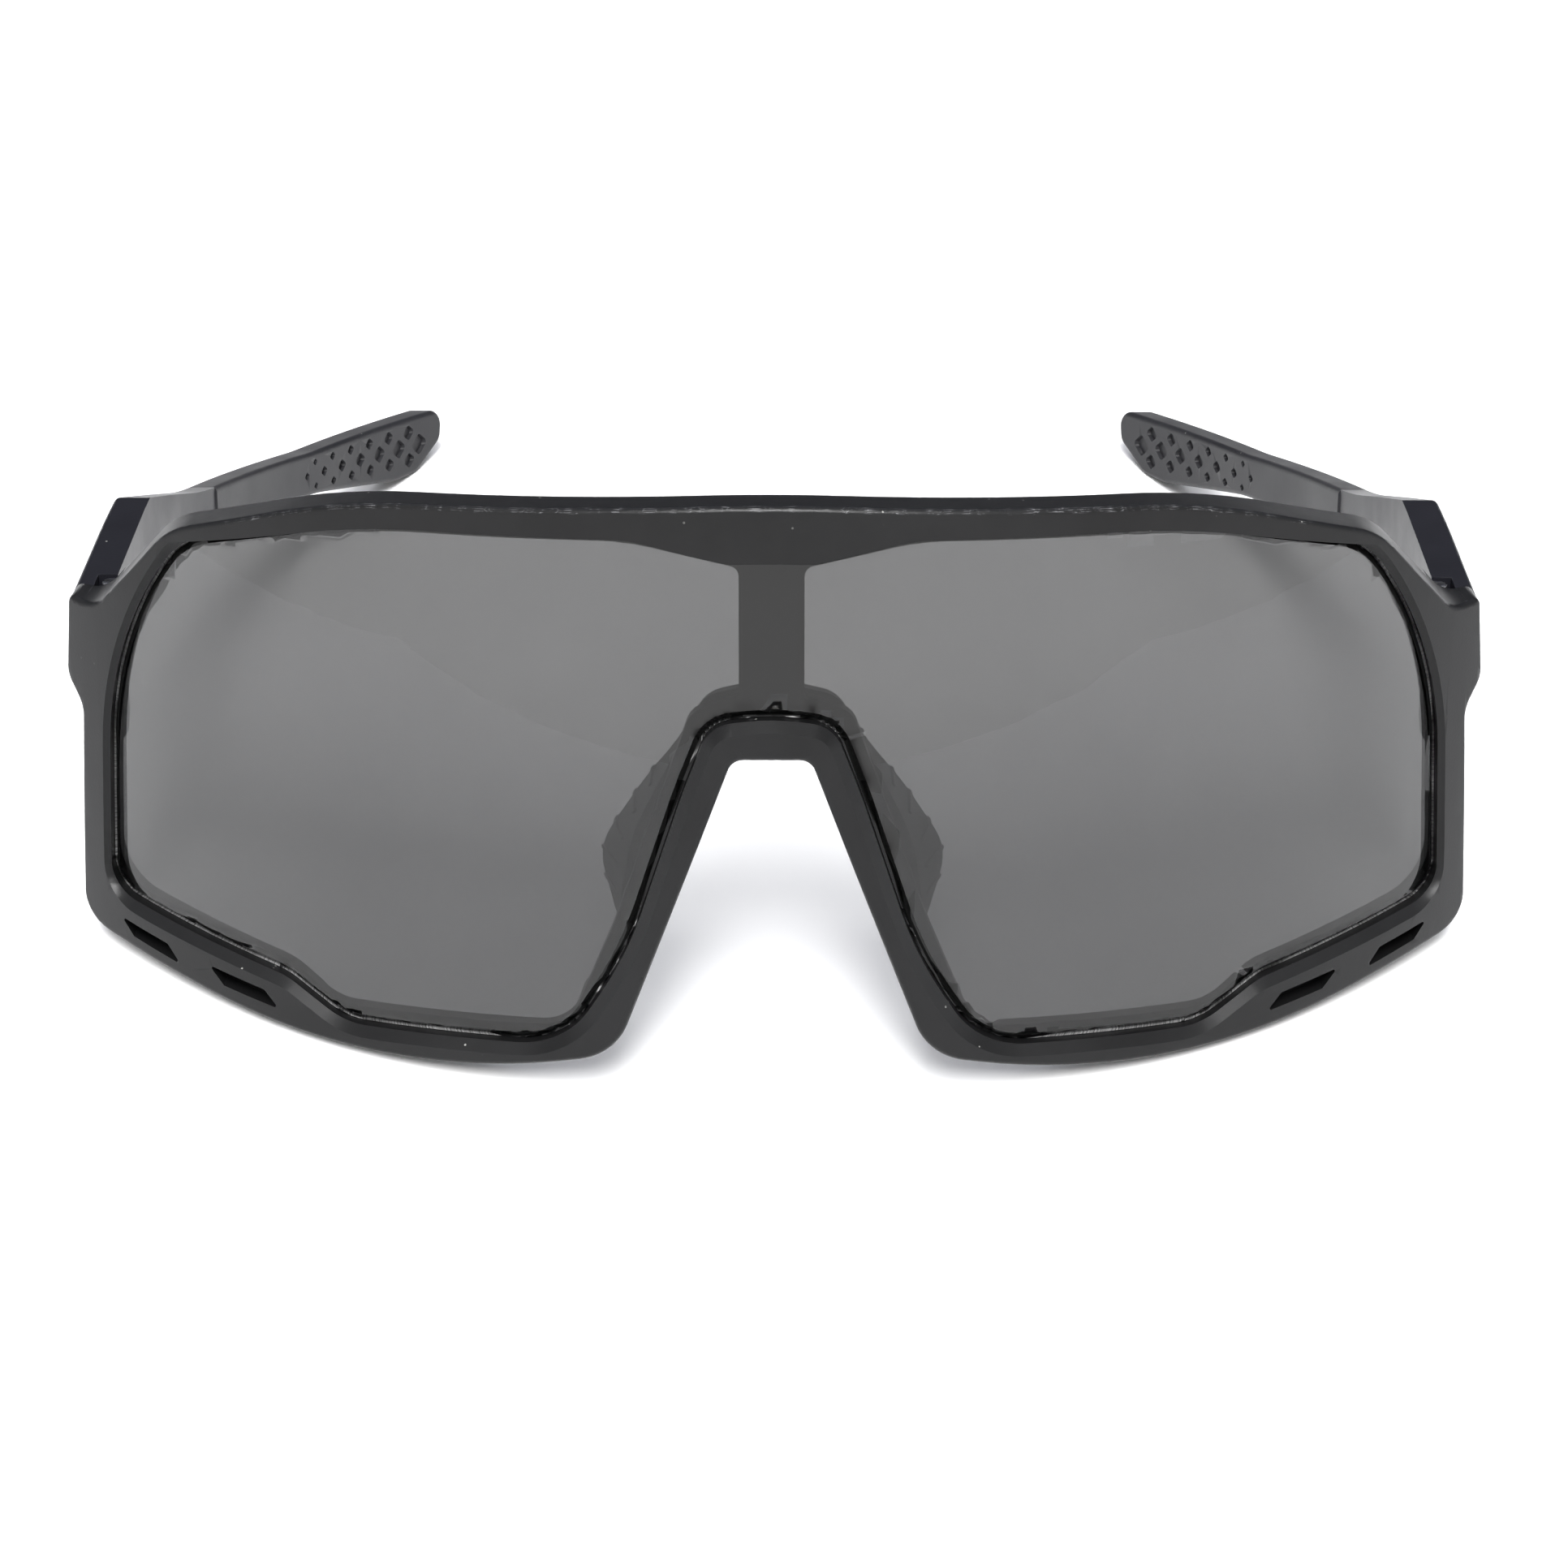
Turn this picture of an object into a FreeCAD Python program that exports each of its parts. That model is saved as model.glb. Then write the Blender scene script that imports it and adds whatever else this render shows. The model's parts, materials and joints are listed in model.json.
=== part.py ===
import FreeCAD, Part
import math
import os

# Wraparound sport sunglasses, in millimetres. Every piece is drawn upright first:
# X to the wearer's left, Y back along the temples, Z up in the plane of the front.
# pose() then leans the whole pair back until it stands on its two lower lobes and its tips.

# ---- driving dimensions -------------------------------------------------------------
WRAP_RADIUS = 100.0        # plan radius of the front face
CROWN_RADIUS = 400.0       # radius of the front face from brow to lower rim
FRONT_DEPTH = 4.6          # thickness of the moulded front
LENS_RECESS = 1.5          # how far the lens sits behind the rim face
LENS_THICKNESS = 1.5
POCKET_PLAY = 0.05         # clearance all round the lens in its pocket
RIM_BEVEL = 1.0            # bevel that runs from the rim face down to the lens
LENS_LEDGE = 0.3           # milled ledge round the lens, where the rim holds it
LENS_LEDGE_DEPTH = 0.6     # how far the ledge lies behind the lens face
LENS_BEVEL = 0.55          # polished bevel from the lens face down to the ledge
OUTER_ROUND = 0.6          # rounding of the front's outer edge
BACK_PLANE = 35.2          # rear face of the front's two sides and lugs
HALF_WIDTH = 73.0

HINGE_X = 68.6             # hinge axis
HINGE_Y = 36.5
KNUCKLE_RADIUS = 1.35
KNUCKLE_HEIGHT = 1.6
KNUCKLE_GAP = 0.1
KNUCKLE_FOOT = 0.6         # height of the lowest knuckle's base
KNUCKLES = 5
PIN_RADIUS = 0.7
PIN_PLAY = 0.05            # radial running clearance on the hinge screw

TEMPLE_HALF_WIDTH = 72.6   # outer face of a temple at its front
TEMPLE_RADIUS = 235.0      # plan radius of the temple's outer face
TEMPLE_STRAIGHT = 50.0     # the temple is straight as far back as this
ARM_THICKNESS = 3.4
SLEEVE_THICKNESS = 3.6
SEAM = 88.0                # where the rubber sleeve starts
TONGUE_END = 140.0
TONGUE_INSET = 1.1         # rubber outside the arm's tongue
TONGUE_THICKNESS = 1.5
SLEEVE_PLAY = 0.05
TEMPLE_ROUND = 0.7         # rounding of the temple's long edges
SEAM_CHAMFER = 0.25        # groove where the rubber meets the arm

LEAN_DEG = 11.22           # lean at which the lower lobes and both tips touch the floor
BEYOND = 60.0              # cutters run at least this far past the material
OVERRUN = 1.0              # cutters overrun a face they meet square on by this much
TOUCH = 0.02               # two places nearer than this are the same place

UP = FreeCAD.Vector(0, 0, 1)
KNUCKLE_PITCH = KNUCKLE_HEIGHT + KNUCKLE_GAP
HINGE_TOP = KNUCKLE_FOOT + KNUCKLES * KNUCKLE_PITCH - KNUCKLE_GAP

# ---- outlines: corners (x, z, rounding radius) of the right half, top to bottom ------
FRONT_OUTLINE = [
    (0, 27.1, 150), (41.5, 25.2, 60), (59.9, 19.4, 9.5), (69.0, 9.2, 3.2), (72.2, 9.8, 0.8),
    (HALF_WIDTH, 1.0, 3.0), (71.2, -1.9, 3.6), (71.8, -9.9, 40), (HALF_WIDTH, -26.2, 3.6),
    (38.6, -34.1, 85), (15.4, -29.2, 6.5), (12.4, -21.1, 40), (3.75, 2.2, 1.6), (0, 2.2, 0),
]
LENS_OUTLINE = [
    (0, 24.5, 150), (37.3, 24.1, 60), (58.6, 18.5, 9), (67.5, 6.5, 40), (69.4, -21.9, 3.6),
    (49.2, -25.9, 6), (43.1, -29.7, 7), (20.5, -28.8, 9), (14.1, -18.5, 40), (8.6, -1.6, 40),
    (5.9, 5.4, 3.6), (0, 6.2, 20),
]
LIP_REACH = 75.0
BROW_LIP = [(0, 21.5, 30), (4.2, 21.4, 6), (13.5, 23.5, 14), (39.0, 23.0, 60), (LIP_REACH, 14.5, 0)]
EYE_OPENING = [
    (3.1, 20.4, 1.0), (13.8, 22.7, 22), (39.5, 22.0, 60), (59.6, 16.9, 9), (66.5, 2.7, 55),
    (68.1, -21.0, 4.8), (48.2, -24.9, 6), (43.8, -28.3, 5), (19.9, -27.2, 4.5),
    (15.1, -15.3, 40), (7.7, 6.3, 2.6), (3.1, 7.8, 0.6),
]
VENT_SLOTS = [
    [(68.2, -24.4, 0.2), (66.8, -26.2, 0.2), (61.3, -27.5, 0.2), (62.7, -25.6, 0.2)],
    [(57.9, -26.5, 0.2), (56.3, -28.4, 0.2), (50.2, -29.4, 0.2), (51.7, -27.6, 0.2)],
]
VENT_DEPTH = 2.2

# ---- side outline of a temple: corners (y, z, rounding radius) -----------------------
TEMPLE_FRONT = BACK_PLANE + 0.2
TEMPLE_OUTLINE = [
    (TEMPLE_FRONT, 9.2, 0), (59.2, 12.6, 2.5), (84.0, 6.8, 70), (120.0, 2.8, 70),
    (152.4, 0.9, 2.2), (151.8, -3.2, 2.0), (146.0, -6.4, 4.0), (141.0, -6.4, 4.0),
    (120.0, -2.6, 50), (76.0, 1.2, 70), (TEMPLE_FRONT, -0.8, 0),
]


def vec(x, y, z):
    return FreeCAD.Vector(x, y, z)


def rounded_wire(corners, place):
    """Closed wire through the corners, each one rounded; place maps (a, b) to a point."""
    spans = []
    count = len(corners)
    for i, (a, b, radius) in enumerate(corners):
        here = FreeCAD.Vector(a, b, 0)
        before = FreeCAD.Vector(corners[i - 1][0], corners[i - 1][1], 0)
        after = FreeCAD.Vector(corners[(i + 1) % count][0], corners[(i + 1) % count][1], 0)
        to_before = (before - here).normalize()
        to_after = (after - here).normalize()
        half = to_before.getAngle(to_after) / 2
        if radius == 0 or half > math.pi / 2 - 1e-3:
            spans.append((here, None, here))
            continue
        run = radius / math.tan(half)
        middle = (to_before + to_after).normalize()
        crest = here + middle * (radius / math.sin(half) - radius)
        spans.append((here + to_before * run, crest, here + to_after * run))
    edges = []
    for i, (start, crest, end) in enumerate(spans):
        if crest is not None:
            edges.append(Part.Arc(place(start), place(crest), place(end)).toShape())
        following = spans[(i + 1) % count][0]
        if (following - end).Length > 1e-4:
            edges.append(Part.LineSegment(place(end), place(following)).toShape())
    return Part.Wire(Part.__sortEdges__(edges))


def front_place(point):
    return vec(point.x, -BEYOND, point.y)


def side_place(point):
    return vec(-2 * BEYOND, point.x, point.y)


def front_prism(corners, grow=0.0):
    """Everything behind an outline drawn on the front, as seen square on."""
    wire = rounded_wire(corners, front_place)
    if grow:
        wire = wire.makeOffset2D(grow)
    return Part.Face(wire).extrude(vec(0, 3 * BEYOND, 0))


def side_prism(corners, grow=0.0):
    """Everything beside an outline drawn on the temple's side."""
    wire = rounded_wire(corners, side_place)
    if grow:
        wire = wire.makeOffset2D(grow)
    return Part.Face(wire).extrude(vec(4 * BEYOND, 0, 0))


def both_halves(half):
    """Corners of a symmetric outline from its right half, which starts and ends on x = 0."""
    return half + [(-x, z, r) for x, z, r in reversed(half[1:-1])]


def mirrored(shape):
    return shape.mirror(vec(0, 0, 0), vec(1, 0, 0))


SHELL_REACH = 45.0         # the front face is drawn this far up and down
SHELL_TURN = 80.0          # and this many degrees round to each side


def front_shell(near, far):
    """The part of space between two depths behind the curved front face."""
    reach = SHELL_REACH

    def at(depth, z):
        return vec(0, CROWN_RADIUS - math.sqrt((CROWN_RADIUS - depth) ** 2 - z * z), z)

    outer = Part.Arc(at(near, -reach), at(near, 0), at(near, reach)).toShape()
    inner = Part.Arc(at(far, reach), at(far, 0), at(far, -reach)).toShape()
    top = Part.LineSegment(at(near, reach), at(far, reach)).toShape()
    foot = Part.LineSegment(at(far, -reach), at(near, -reach)).toShape()
    band = Part.Face(Part.Wire([outer, top, inner, foot]))
    axis = vec(0, WRAP_RADIUS, 0)
    band.rotate(axis, UP, -SHELL_TURN)
    return band.revolve(axis, UP, 2 * SHELL_TURN)


def block(x0, x1, y0, y1, z0, z1):
    return Part.makeBox(x1 - x0, y1 - y0, z1 - z0, vec(x0, y0, z0))


def knuckle_foot(index):
    return KNUCKLE_FOOT + index * KNUCKLE_PITCH


def hinge_cylinder(radius, foot, height):
    return Part.makeCylinder(radius, height, vec(HINGE_X, HINGE_Y, foot), UP)


# ---- hinge leaves: sheet steel with rolled knuckles ----------------------------------
FRONT_TONGUE = (HINGE_X - 1.0, HINGE_X + 1.0)
FRONT_LEAF_START = 31.6
LUG_RECESS = BACK_PLANE - 0.3
TEMPLE_TONGUE = (HINGE_X - 0.1, HINGE_X + 1.1)
TEMPLE_LEAF_START = 38.6
TEMPLE_LEAF_END = 48.0
LEAF_SCREW_PLACES = (42.0, 46.0)
LEAF_SCREW_RADIUS = 0.6
LEAF_SCREW_HEAD = 1.1
LEAF_SCREW_LENGTH = 3.2
HEAD_HEIGHT = 0.5
SCREW_PLAY = 0.03
DRIVE_SLOT_WIDTH = 0.3
DRIVE_SLOT_DEPTH = 0.25


def hinge_bore():
    return hinge_cylinder(PIN_RADIUS + PIN_PLAY, -OVERRUN, HINGE_TOP + 2 * OVERRUN)


def front_leaf():
    x0, x1 = FRONT_TONGUE
    leaf = block(x0, x1, FRONT_LEAF_START, LUG_RECESS, KNUCKLE_FOOT, HINGE_TOP)
    for index in range(0, KNUCKLES, 2):
        foot = knuckle_foot(index)
        leaf = leaf.fuse(block(x0, x1, LUG_RECESS, HINGE_Y, foot, foot + KNUCKLE_HEIGHT))
        leaf = leaf.fuse(hinge_cylinder(KNUCKLE_RADIUS, foot, KNUCKLE_HEIGHT))
    return leaf.cut(hinge_bore()).removeSplitter()


def leaf_plate():
    """The flat of the temple leaf, which lies in a pocket on the arm's inner side."""
    x0, x1 = TEMPLE_TONGUE
    low = knuckle_foot(1)
    high = knuckle_foot(KNUCKLES - 2) + KNUCKLE_HEIGHT
    return block(x0, x1, TEMPLE_LEAF_START, TEMPLE_LEAF_END, low, high)


def screw_body(y, play):
    """Countersunk screw along X, its head flush with the leaf; play makes room round it."""
    low = knuckle_foot(1)
    high = knuckle_foot(KNUCKLES - 2) + KNUCKLE_HEIGHT
    start = vec(TEMPLE_TONGUE[0], y, (low + high) / 2)
    along = vec(1, 0, 0)
    shank = Part.makeCylinder(LEAF_SCREW_RADIUS + play, LEAF_SCREW_LENGTH + play, start, along)
    head = Part.makeCone(LEAF_SCREW_HEAD + play, LEAF_SCREW_RADIUS, HEAD_HEIGHT + play, start, along)
    return shank.fuse(head)


def leaf_screw(y):
    x0 = TEMPLE_TONGUE[0]
    half = DRIVE_SLOT_WIDTH / 2
    slot = block(x0 - OVERRUN, x0 + DRIVE_SLOT_DEPTH, y - half, y + half, -BEYOND, BEYOND)
    return screw_body(y, 0).cut(slot)


def screw_hole(y):
    """Room for a leaf screw in the leaf and the arm."""
    return screw_body(y, SCREW_PLAY)


def temple_leaf():
    x0, x1 = TEMPLE_TONGUE
    leaf = leaf_plate()
    for index in range(1, KNUCKLES, 2):
        foot = knuckle_foot(index)
        leaf = leaf.fuse(block(x0, x1, HINGE_Y, TEMPLE_LEAF_START, foot, foot + KNUCKLE_HEIGHT))
        leaf = leaf.fuse(hinge_cylinder(KNUCKLE_RADIUS, foot, KNUCKLE_HEIGHT))
    leaf = leaf.cut(hinge_bore())
    for y in LEAF_SCREW_PLACES:
        leaf = leaf.cut(screw_hole(y))
    return leaf.removeSplitter()


PIN_HEAD_RADIUS = 1.2
PIN_HEAD_HEIGHT = 0.6
PIN_HEAD_ROUND = 0.25
PIN_SLOT_WIDTH = 0.36
PIN_SLOT_DEPTH = 0.27


def hinge_screw():
    """The pin of the hinge: it turns in every knuckle, and its slotted head stands on top."""
    head_foot = HINGE_TOP + TOUCH
    crown = head_foot + PIN_HEAD_HEIGHT
    shank = hinge_cylinder(PIN_RADIUS, KNUCKLE_FOOT + KNUCKLE_GAP, HINGE_TOP - KNUCKLE_FOOT)
    head = hinge_cylinder(PIN_HEAD_RADIUS, head_foot, PIN_HEAD_HEIGHT)
    rim = [edge for edge in head.Edges if edge.BoundBox.ZMin > crown - KNUCKLE_GAP]
    head = head.makeFillet(PIN_HEAD_ROUND, rim)
    half = PIN_SLOT_WIDTH / 2
    slot = block(-BEYOND, BEYOND, HINGE_Y - half, HINGE_Y + half, crown - PIN_SLOT_DEPTH, BEYOND)
    slot.translate(vec(HINGE_X, 0, 0))
    return shank.fuse(head).cut(slot).removeSplitter()


# ---- the moulded front ---------------------------------------------------------------
LUG_INNER = 66.8
LUG_START = 27.5
LUG_FOOT = -6.0
LUG_TOP = 12.0
CHANNEL_OUTER = HINGE_X + 1.75     # wall of the channel that the hinge knuckles turn in
PEG_X = 9.4                # the nosepiece's two pegs
PEG_Z = -3.0
PEG_RADIUS = 0.9
PEG_PLAY = 0.05
PEG_TIP = 4.0              # the pegs stop short of the lens


def front_depth(p):
    """How far a point lies behind the front face."""
    from_axis = math.hypot(p.x, p.y - WRAP_RADIUS)
    return CROWN_RADIUS - math.hypot(from_axis + CROWN_RADIUS - WRAP_RADIUS, p.z)


def edges_at_depth(solid, depth, wall=None):
    """Edges that lie at one depth behind the front face, and on the wall if one is given."""
    found = []
    for edge in solid.Edges:
        first, last = edge.ParameterRange
        points = [edge.valueAt(first + (last - first) * share) for share in (0.05, 0.5, 0.95)]
        level = all(abs(front_depth(point) - depth) < TOUCH for point in points)
        if level and (wall is None or wall.distToShape(Part.Vertex(points[1]))[0] < TOUCH):
            found.append(edge)
    return found


def rim_blank():
    """The front before anything is cut out of it: a curved plate with a lug at each side."""
    lugs = block(LUG_INNER, HALF_WIDTH + OVERRUN, LUG_START, BACK_PLANE, LUG_FOOT, LUG_TOP)
    lugs = lugs.fuse(mirrored(lugs)).common(front_shell(0, BACK_PLANE))
    blank = front_shell(0, FRONT_DEPTH).fuse(lugs)
    blank = blank.common(block(-2 * BEYOND, 2 * BEYOND, -OVERRUN, BACK_PLANE, -BEYOND, BEYOND))
    blank = blank.common(front_prism(both_halves(FRONT_OUTLINE))).removeSplitter()
    return blank.makeFillet(OUTER_ROUND, edges_at_depth(blank, 0))


def nose_peg(side, play):
    start = vec(side * PEG_X, PEG_TIP - play, PEG_Z)
    return Part.makeCylinder(PEG_RADIUS + play, FRONT_DEPTH, start, vec(0, 1, 0))


def front_frame(leaves):
    body = rim_blank()
    lens_prism = front_prism(both_halves(LENS_OUTLINE))
    below_lip = front_prism(both_halves(BROW_LIP + [(LIP_REACH, -SHELL_REACH, 0), (0, -SHELL_REACH, 0)]))
    window = lens_prism.common(below_lip).common(front_shell(-OVERRUN, LENS_RECESS + 2 * POCKET_PLAY))
    body = body.cut(window).removeSplitter()
    rim = edges_at_depth(body, 0, Part.Shell(lens_prism.Faces))
    body = body.makeChamfer(RIM_BEVEL, rim)
    pocket_back = LENS_RECESS + LENS_THICKNESS + 2 * POCKET_PLAY
    body = body.cut(lens_prism.common(front_shell(LENS_RECESS, pocket_back)))
    eye = front_prism(EYE_OPENING)
    body = body.cut(eye).cut(mirrored(eye)).removeSplitter()

    for slot in VENT_SLOTS:
        vent = front_prism(slot).common(front_shell(-OVERRUN, VENT_DEPTH))
        body = body.cut(vent).cut(mirrored(vent))
    channel = block(LUG_INNER - OVERRUN, CHANNEL_OUTER, LUG_RECESS, BACK_PLANE + OVERRUN,
                    LUG_FOOT, LUG_TOP + OVERRUN)
    body = body.cut(channel).cut(mirrored(channel))
    for leaf in leaves:
        body = body.cut(leaf)
    for side in (-1, 1):
        body = body.cut(nose_peg(side, PEG_PLAY))
    return body


def lens():
    near = LENS_RECESS + POCKET_PLAY
    far = near + LENS_THICKNESS
    outline = both_halves(LENS_OUTLINE)
    window = front_prism(outline, -POCKET_PLAY - LENS_LEDGE).common(front_shell(near, far))
    window = window.makeChamfer(LENS_BEVEL, edges_at_depth(window, near))
    plate = front_prism(outline, -POCKET_PLAY).common(front_shell(near + LENS_LEDGE_DEPTH, far))
    return plate.fuse(window).removeSplitter()


# ---- nosepiece: one rubber saddle behind the nose arch --------------------------------
SADDLE_START = 3.0
SADDLE_END = 16.0
SADDLE_OUTER = [
    [(0, 9.4, 12), (6.6, 7.8, 3.0), (12.6, -6.0, 30), (14.8, -17.0, 1.2), (0, -17.0, 0)],
    [(0, 6.7, 12), (5.8, 5.4, 4.0), (18.0, -12.2, 5.0), (16.2, -19.5, 1.2), (0, -19.5, 0)],
]
SADDLE_INNER = [
    [(0, 5.6, 8), (4.9, 4.4, 2.5), (10.3, -6.0, 30), (12.5, -19.0, 1.2), (0, -19.0, 0)],
    [(0, 3.8, 8), (4.0, 2.7, 2.5), (15.6, -12.2, 5.0), (13.8, -21.5, 1.2), (0, -21.5, 0)],
]
SADDLE_FOOT = -16.0
PAD_SIDE = [(SADDLE_START, 11.5, 0), (7.6, 11.5, 1.5), (8.8, 3.0, 10), (15.6, -4.5, 5.0),
            (13.6, -14.8, 4.0), (SADDLE_START, -18.5, 0)]
RIB_TOP = -3.0
RIB_PITCH = 2.8
RIB_COUNT = 5
RIB_START = 8.5
RIB_WIDTH = 0.35
RIB_HEIGHT = 0.2


def saddle_loft(sections, grow=0.0):
    """Straight-sided solid from the saddle's outline at its front to the one at its rear."""
    wires = []
    for y, corners in zip((SADDLE_START, SADDLE_END), sections):
        wire = rounded_wire(both_halves(corners), lambda p: vec(p.x, y, p.y))
        if grow:
            wire = wire.makeOffset2D(grow)
        wires.append(wire)
    return Part.makeLoft(wires, True, True)


def nosepiece():
    saddle = saddle_loft(SADDLE_OUTER)
    ribs = []
    for index in range(RIB_COUNT):
        z = RIB_TOP - index * RIB_PITCH
        ribs.append(block(-BEYOND, BEYOND, RIB_START, SADDLE_END, z, z + RIB_WIDTH))
    proud = saddle_loft(SADDLE_OUTER, RIB_HEIGHT).common(Part.makeCompound(ribs))
    saddle = saddle.fuse(proud)
    saddle = saddle.cut(saddle_loft(SADDLE_INNER))
    saddle = saddle.cut(block(-BEYOND, BEYOND, 0, BEYOND, -BEYOND, SADDLE_FOOT))
    saddle = saddle.common(side_prism(PAD_SIDE))
    saddle = saddle.cut(front_shell(-OVERRUN, FRONT_DEPTH))
    for side in (-1, 1):
        saddle = saddle.fuse(nose_peg(side, 0))
    return saddle.removeSplitter()


# ---- temples --------------------------------------------------------------------------
def temple_x(y, inset=0.0):
    """X of the temple's outer face, or of a face set in from it."""
    if y <= TEMPLE_STRAIGHT:
        return TEMPLE_HALF_WIDTH - inset
    reach = math.sqrt((TEMPLE_RADIUS - inset) ** 2 - (y - TEMPLE_STRAIGHT) ** 2)
    return TEMPLE_HALF_WIDTH - TEMPLE_RADIUS + reach


def temple_arc(start, end, inset):
    middle = (start + end) / 2
    return Part.Arc(vec(temple_x(start, inset), start, 0), vec(temple_x(middle, inset), middle, 0),
                    vec(temple_x(end, inset), end, 0)).toShape()


def plan_slab(edges):
    """Upright slab over a closed plan outline."""
    wire = Part.Wire(Part.__sortEdges__(edges))
    wire.translate(vec(0, 0, -BEYOND))
    return Part.Face(wire).extrude(vec(0, 0, 2 * BEYOND))


def temple_slab(start, end, outset, inset):
    """Curved slab between two distances in from the temple's outer face."""
    outer = temple_arc(start, end, outset)
    inner = temple_arc(start, end, inset)
    first = Part.LineSegment(outer.valueAt(outer.FirstParameter),
                             inner.valueAt(inner.FirstParameter)).toShape()
    last = Part.LineSegment(outer.valueAt(outer.LastParameter),
                            inner.valueAt(inner.LastParameter)).toShape()
    return plan_slab([outer, inner, first, last])


ARM_INNER_X = HINGE_X - 0.1
WALL_INNER_X = HINGE_X + 1.95
ARM_TAPER_START = 56.0
ARM_TAPER_END = 72.0


def arm_plan():
    """Plan of the arm: a thin wall beside the knuckles, a thick front and a slim rear."""
    corner = [vec(TEMPLE_HALF_WIDTH, TEMPLE_STRAIGHT, 0), vec(TEMPLE_HALF_WIDTH, TEMPLE_FRONT, 0),
              vec(WALL_INNER_X, TEMPLE_FRONT, 0), vec(WALL_INNER_X, TEMPLE_LEAF_START, 0),
              vec(ARM_INNER_X, TEMPLE_LEAF_START, 0), vec(ARM_INNER_X, ARM_TAPER_START, 0),
              vec(temple_x(ARM_TAPER_END, ARM_THICKNESS), ARM_TAPER_END, 0)]
    edges = [Part.LineSegment(a, b).toShape() for a, b in zip(corner, corner[1:])]
    edges.append(temple_arc(ARM_TAPER_END, SEAM, ARM_THICKNESS))
    edges.append(temple_arc(TEMPLE_STRAIGHT, SEAM, 0))
    edges.append(Part.LineSegment(vec(temple_x(SEAM), SEAM, 0),
                                  vec(temple_x(SEAM, ARM_THICKNESS), SEAM, 0)).toShape())
    return plan_slab(edges)


TONGUE_CORE = 1.3          # rubber above and below the tongue
TONGUE_ROOT = SEAM - 0.5


def tongue(play):
    slab = temple_slab(TONGUE_ROOT, TONGUE_END + play, TONGUE_INSET - play,
                       TONGUE_INSET + TONGUE_THICKNESS + play)
    return slab.common(side_prism(TEMPLE_OUTLINE, play - TONGUE_CORE))


def middle_of(edge):
    return edge.valueAt((edge.FirstParameter + edge.LastParameter) / 2)


def is_long_outer(edge):
    """Does the edge run back along the temple's outer face?"""
    point = middle_of(edge)
    runs_back = abs(edge.tangentAt(edge.FirstParameter).y) > 0.5
    return runs_back and abs(temple_x(point.y) - point.x) < 2 * TOUCH


def temple_arm():
    arm = arm_plan().common(side_prism(TEMPLE_OUTLINE)).removeSplitter()
    arm = arm.makeFillet(TEMPLE_ROUND, [edge for edge in arm.Edges if is_long_outer(edge)])
    arm = arm.fuse(tongue(0)).removeSplitter()
    arm = arm.cut(leaf_plate())
    for y in LEAF_SCREW_PLACES:
        arm = arm.cut(screw_hole(y))
    return arm


SLEEVE_END = 156.5
DIMPLE_ROWS = 13
DIMPLE_START = 117.0
DIMPLE_END = 146.2
DIMPLE_DEPTH = 0.5
DIMPLE_SMALL = 0.75        # half length of the first recess, and how much the last one gains
DIMPLE_GROWTH = 1.25
DIMPLE_SHAPE = 0.75        # height of a recess over its length
DIMPLE_ROUND = 0.3
DIMPLE_PAIR = 0.75         # a recess in a row of two is this much smaller
DIMPLE_OFFSET = 1.5        # rows of two stand this far above and below the sleeve's middle
DIMPLE_SPREAD = 0.4        # and this much further at the last row
SLEEVE_MIDDLE = 0.3        # height of that middle at the first row, and how far it drops
SLEEVE_DROP = 2.9


def dimple(y, z, size):
    """Diamond recess in the sleeve's inner face."""
    tall = size * DIMPLE_SHAPE
    corners = [(y - size, z), (y, z + tall), (y + size, z), (y, z - tall)]
    return side_prism([(a, b, size * DIMPLE_ROUND) for a, b in corners])


def tip_sleeve():
    sleeve = temple_slab(SEAM, SLEEVE_END, 0, SLEEVE_THICKNESS)
    sleeve = sleeve.common(side_prism(TEMPLE_OUTLINE)).removeSplitter()
    behind_seam = [edge for edge in sleeve.Edges if middle_of(edge).y > SEAM + SEAM_CHAMFER]
    sleeve = sleeve.makeFillet(TEMPLE_ROUND, behind_seam)
    seam = [edge for edge in sleeve.Edges if abs(edge.BoundBox.YMax - SEAM) < TOUCH]
    sleeve = sleeve.makeChamfer(SEAM_CHAMFER, seam)
    skin = temple_slab(SEAM, SLEEVE_END, SLEEVE_THICKNESS - DIMPLE_DEPTH, SLEEVE_THICKNESS + OVERRUN)
    for row in range(DIMPLE_ROWS):
        share = row / (DIMPLE_ROWS - 1)
        y = DIMPLE_START + (DIMPLE_END - DIMPLE_START) * share
        size = DIMPLE_SMALL + DIMPLE_GROWTH * share
        middle = SLEEVE_MIDDLE - SLEEVE_DROP * share
        spread = DIMPLE_OFFSET + DIMPLE_SPREAD * share
        if row % 2:
            size = size * DIMPLE_PAIR
        offsets = (-spread, spread) if row % 2 else (0.0,)
        for offset in offsets:
            sleeve = sleeve.cut(dimple(y, middle + offset, size).common(skin))
    return sleeve.cut(tongue(SLEEVE_PLAY))


# ---- standing pose, export ------------------------------------------------------------
def pose(shape, lift, back):
    posed = shape.copy()
    posed.rotate(vec(0, 0, 0), vec(1, 0, 0), -LEAN_DEG)
    posed.translate(vec(0, back, lift))
    return posed


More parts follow.
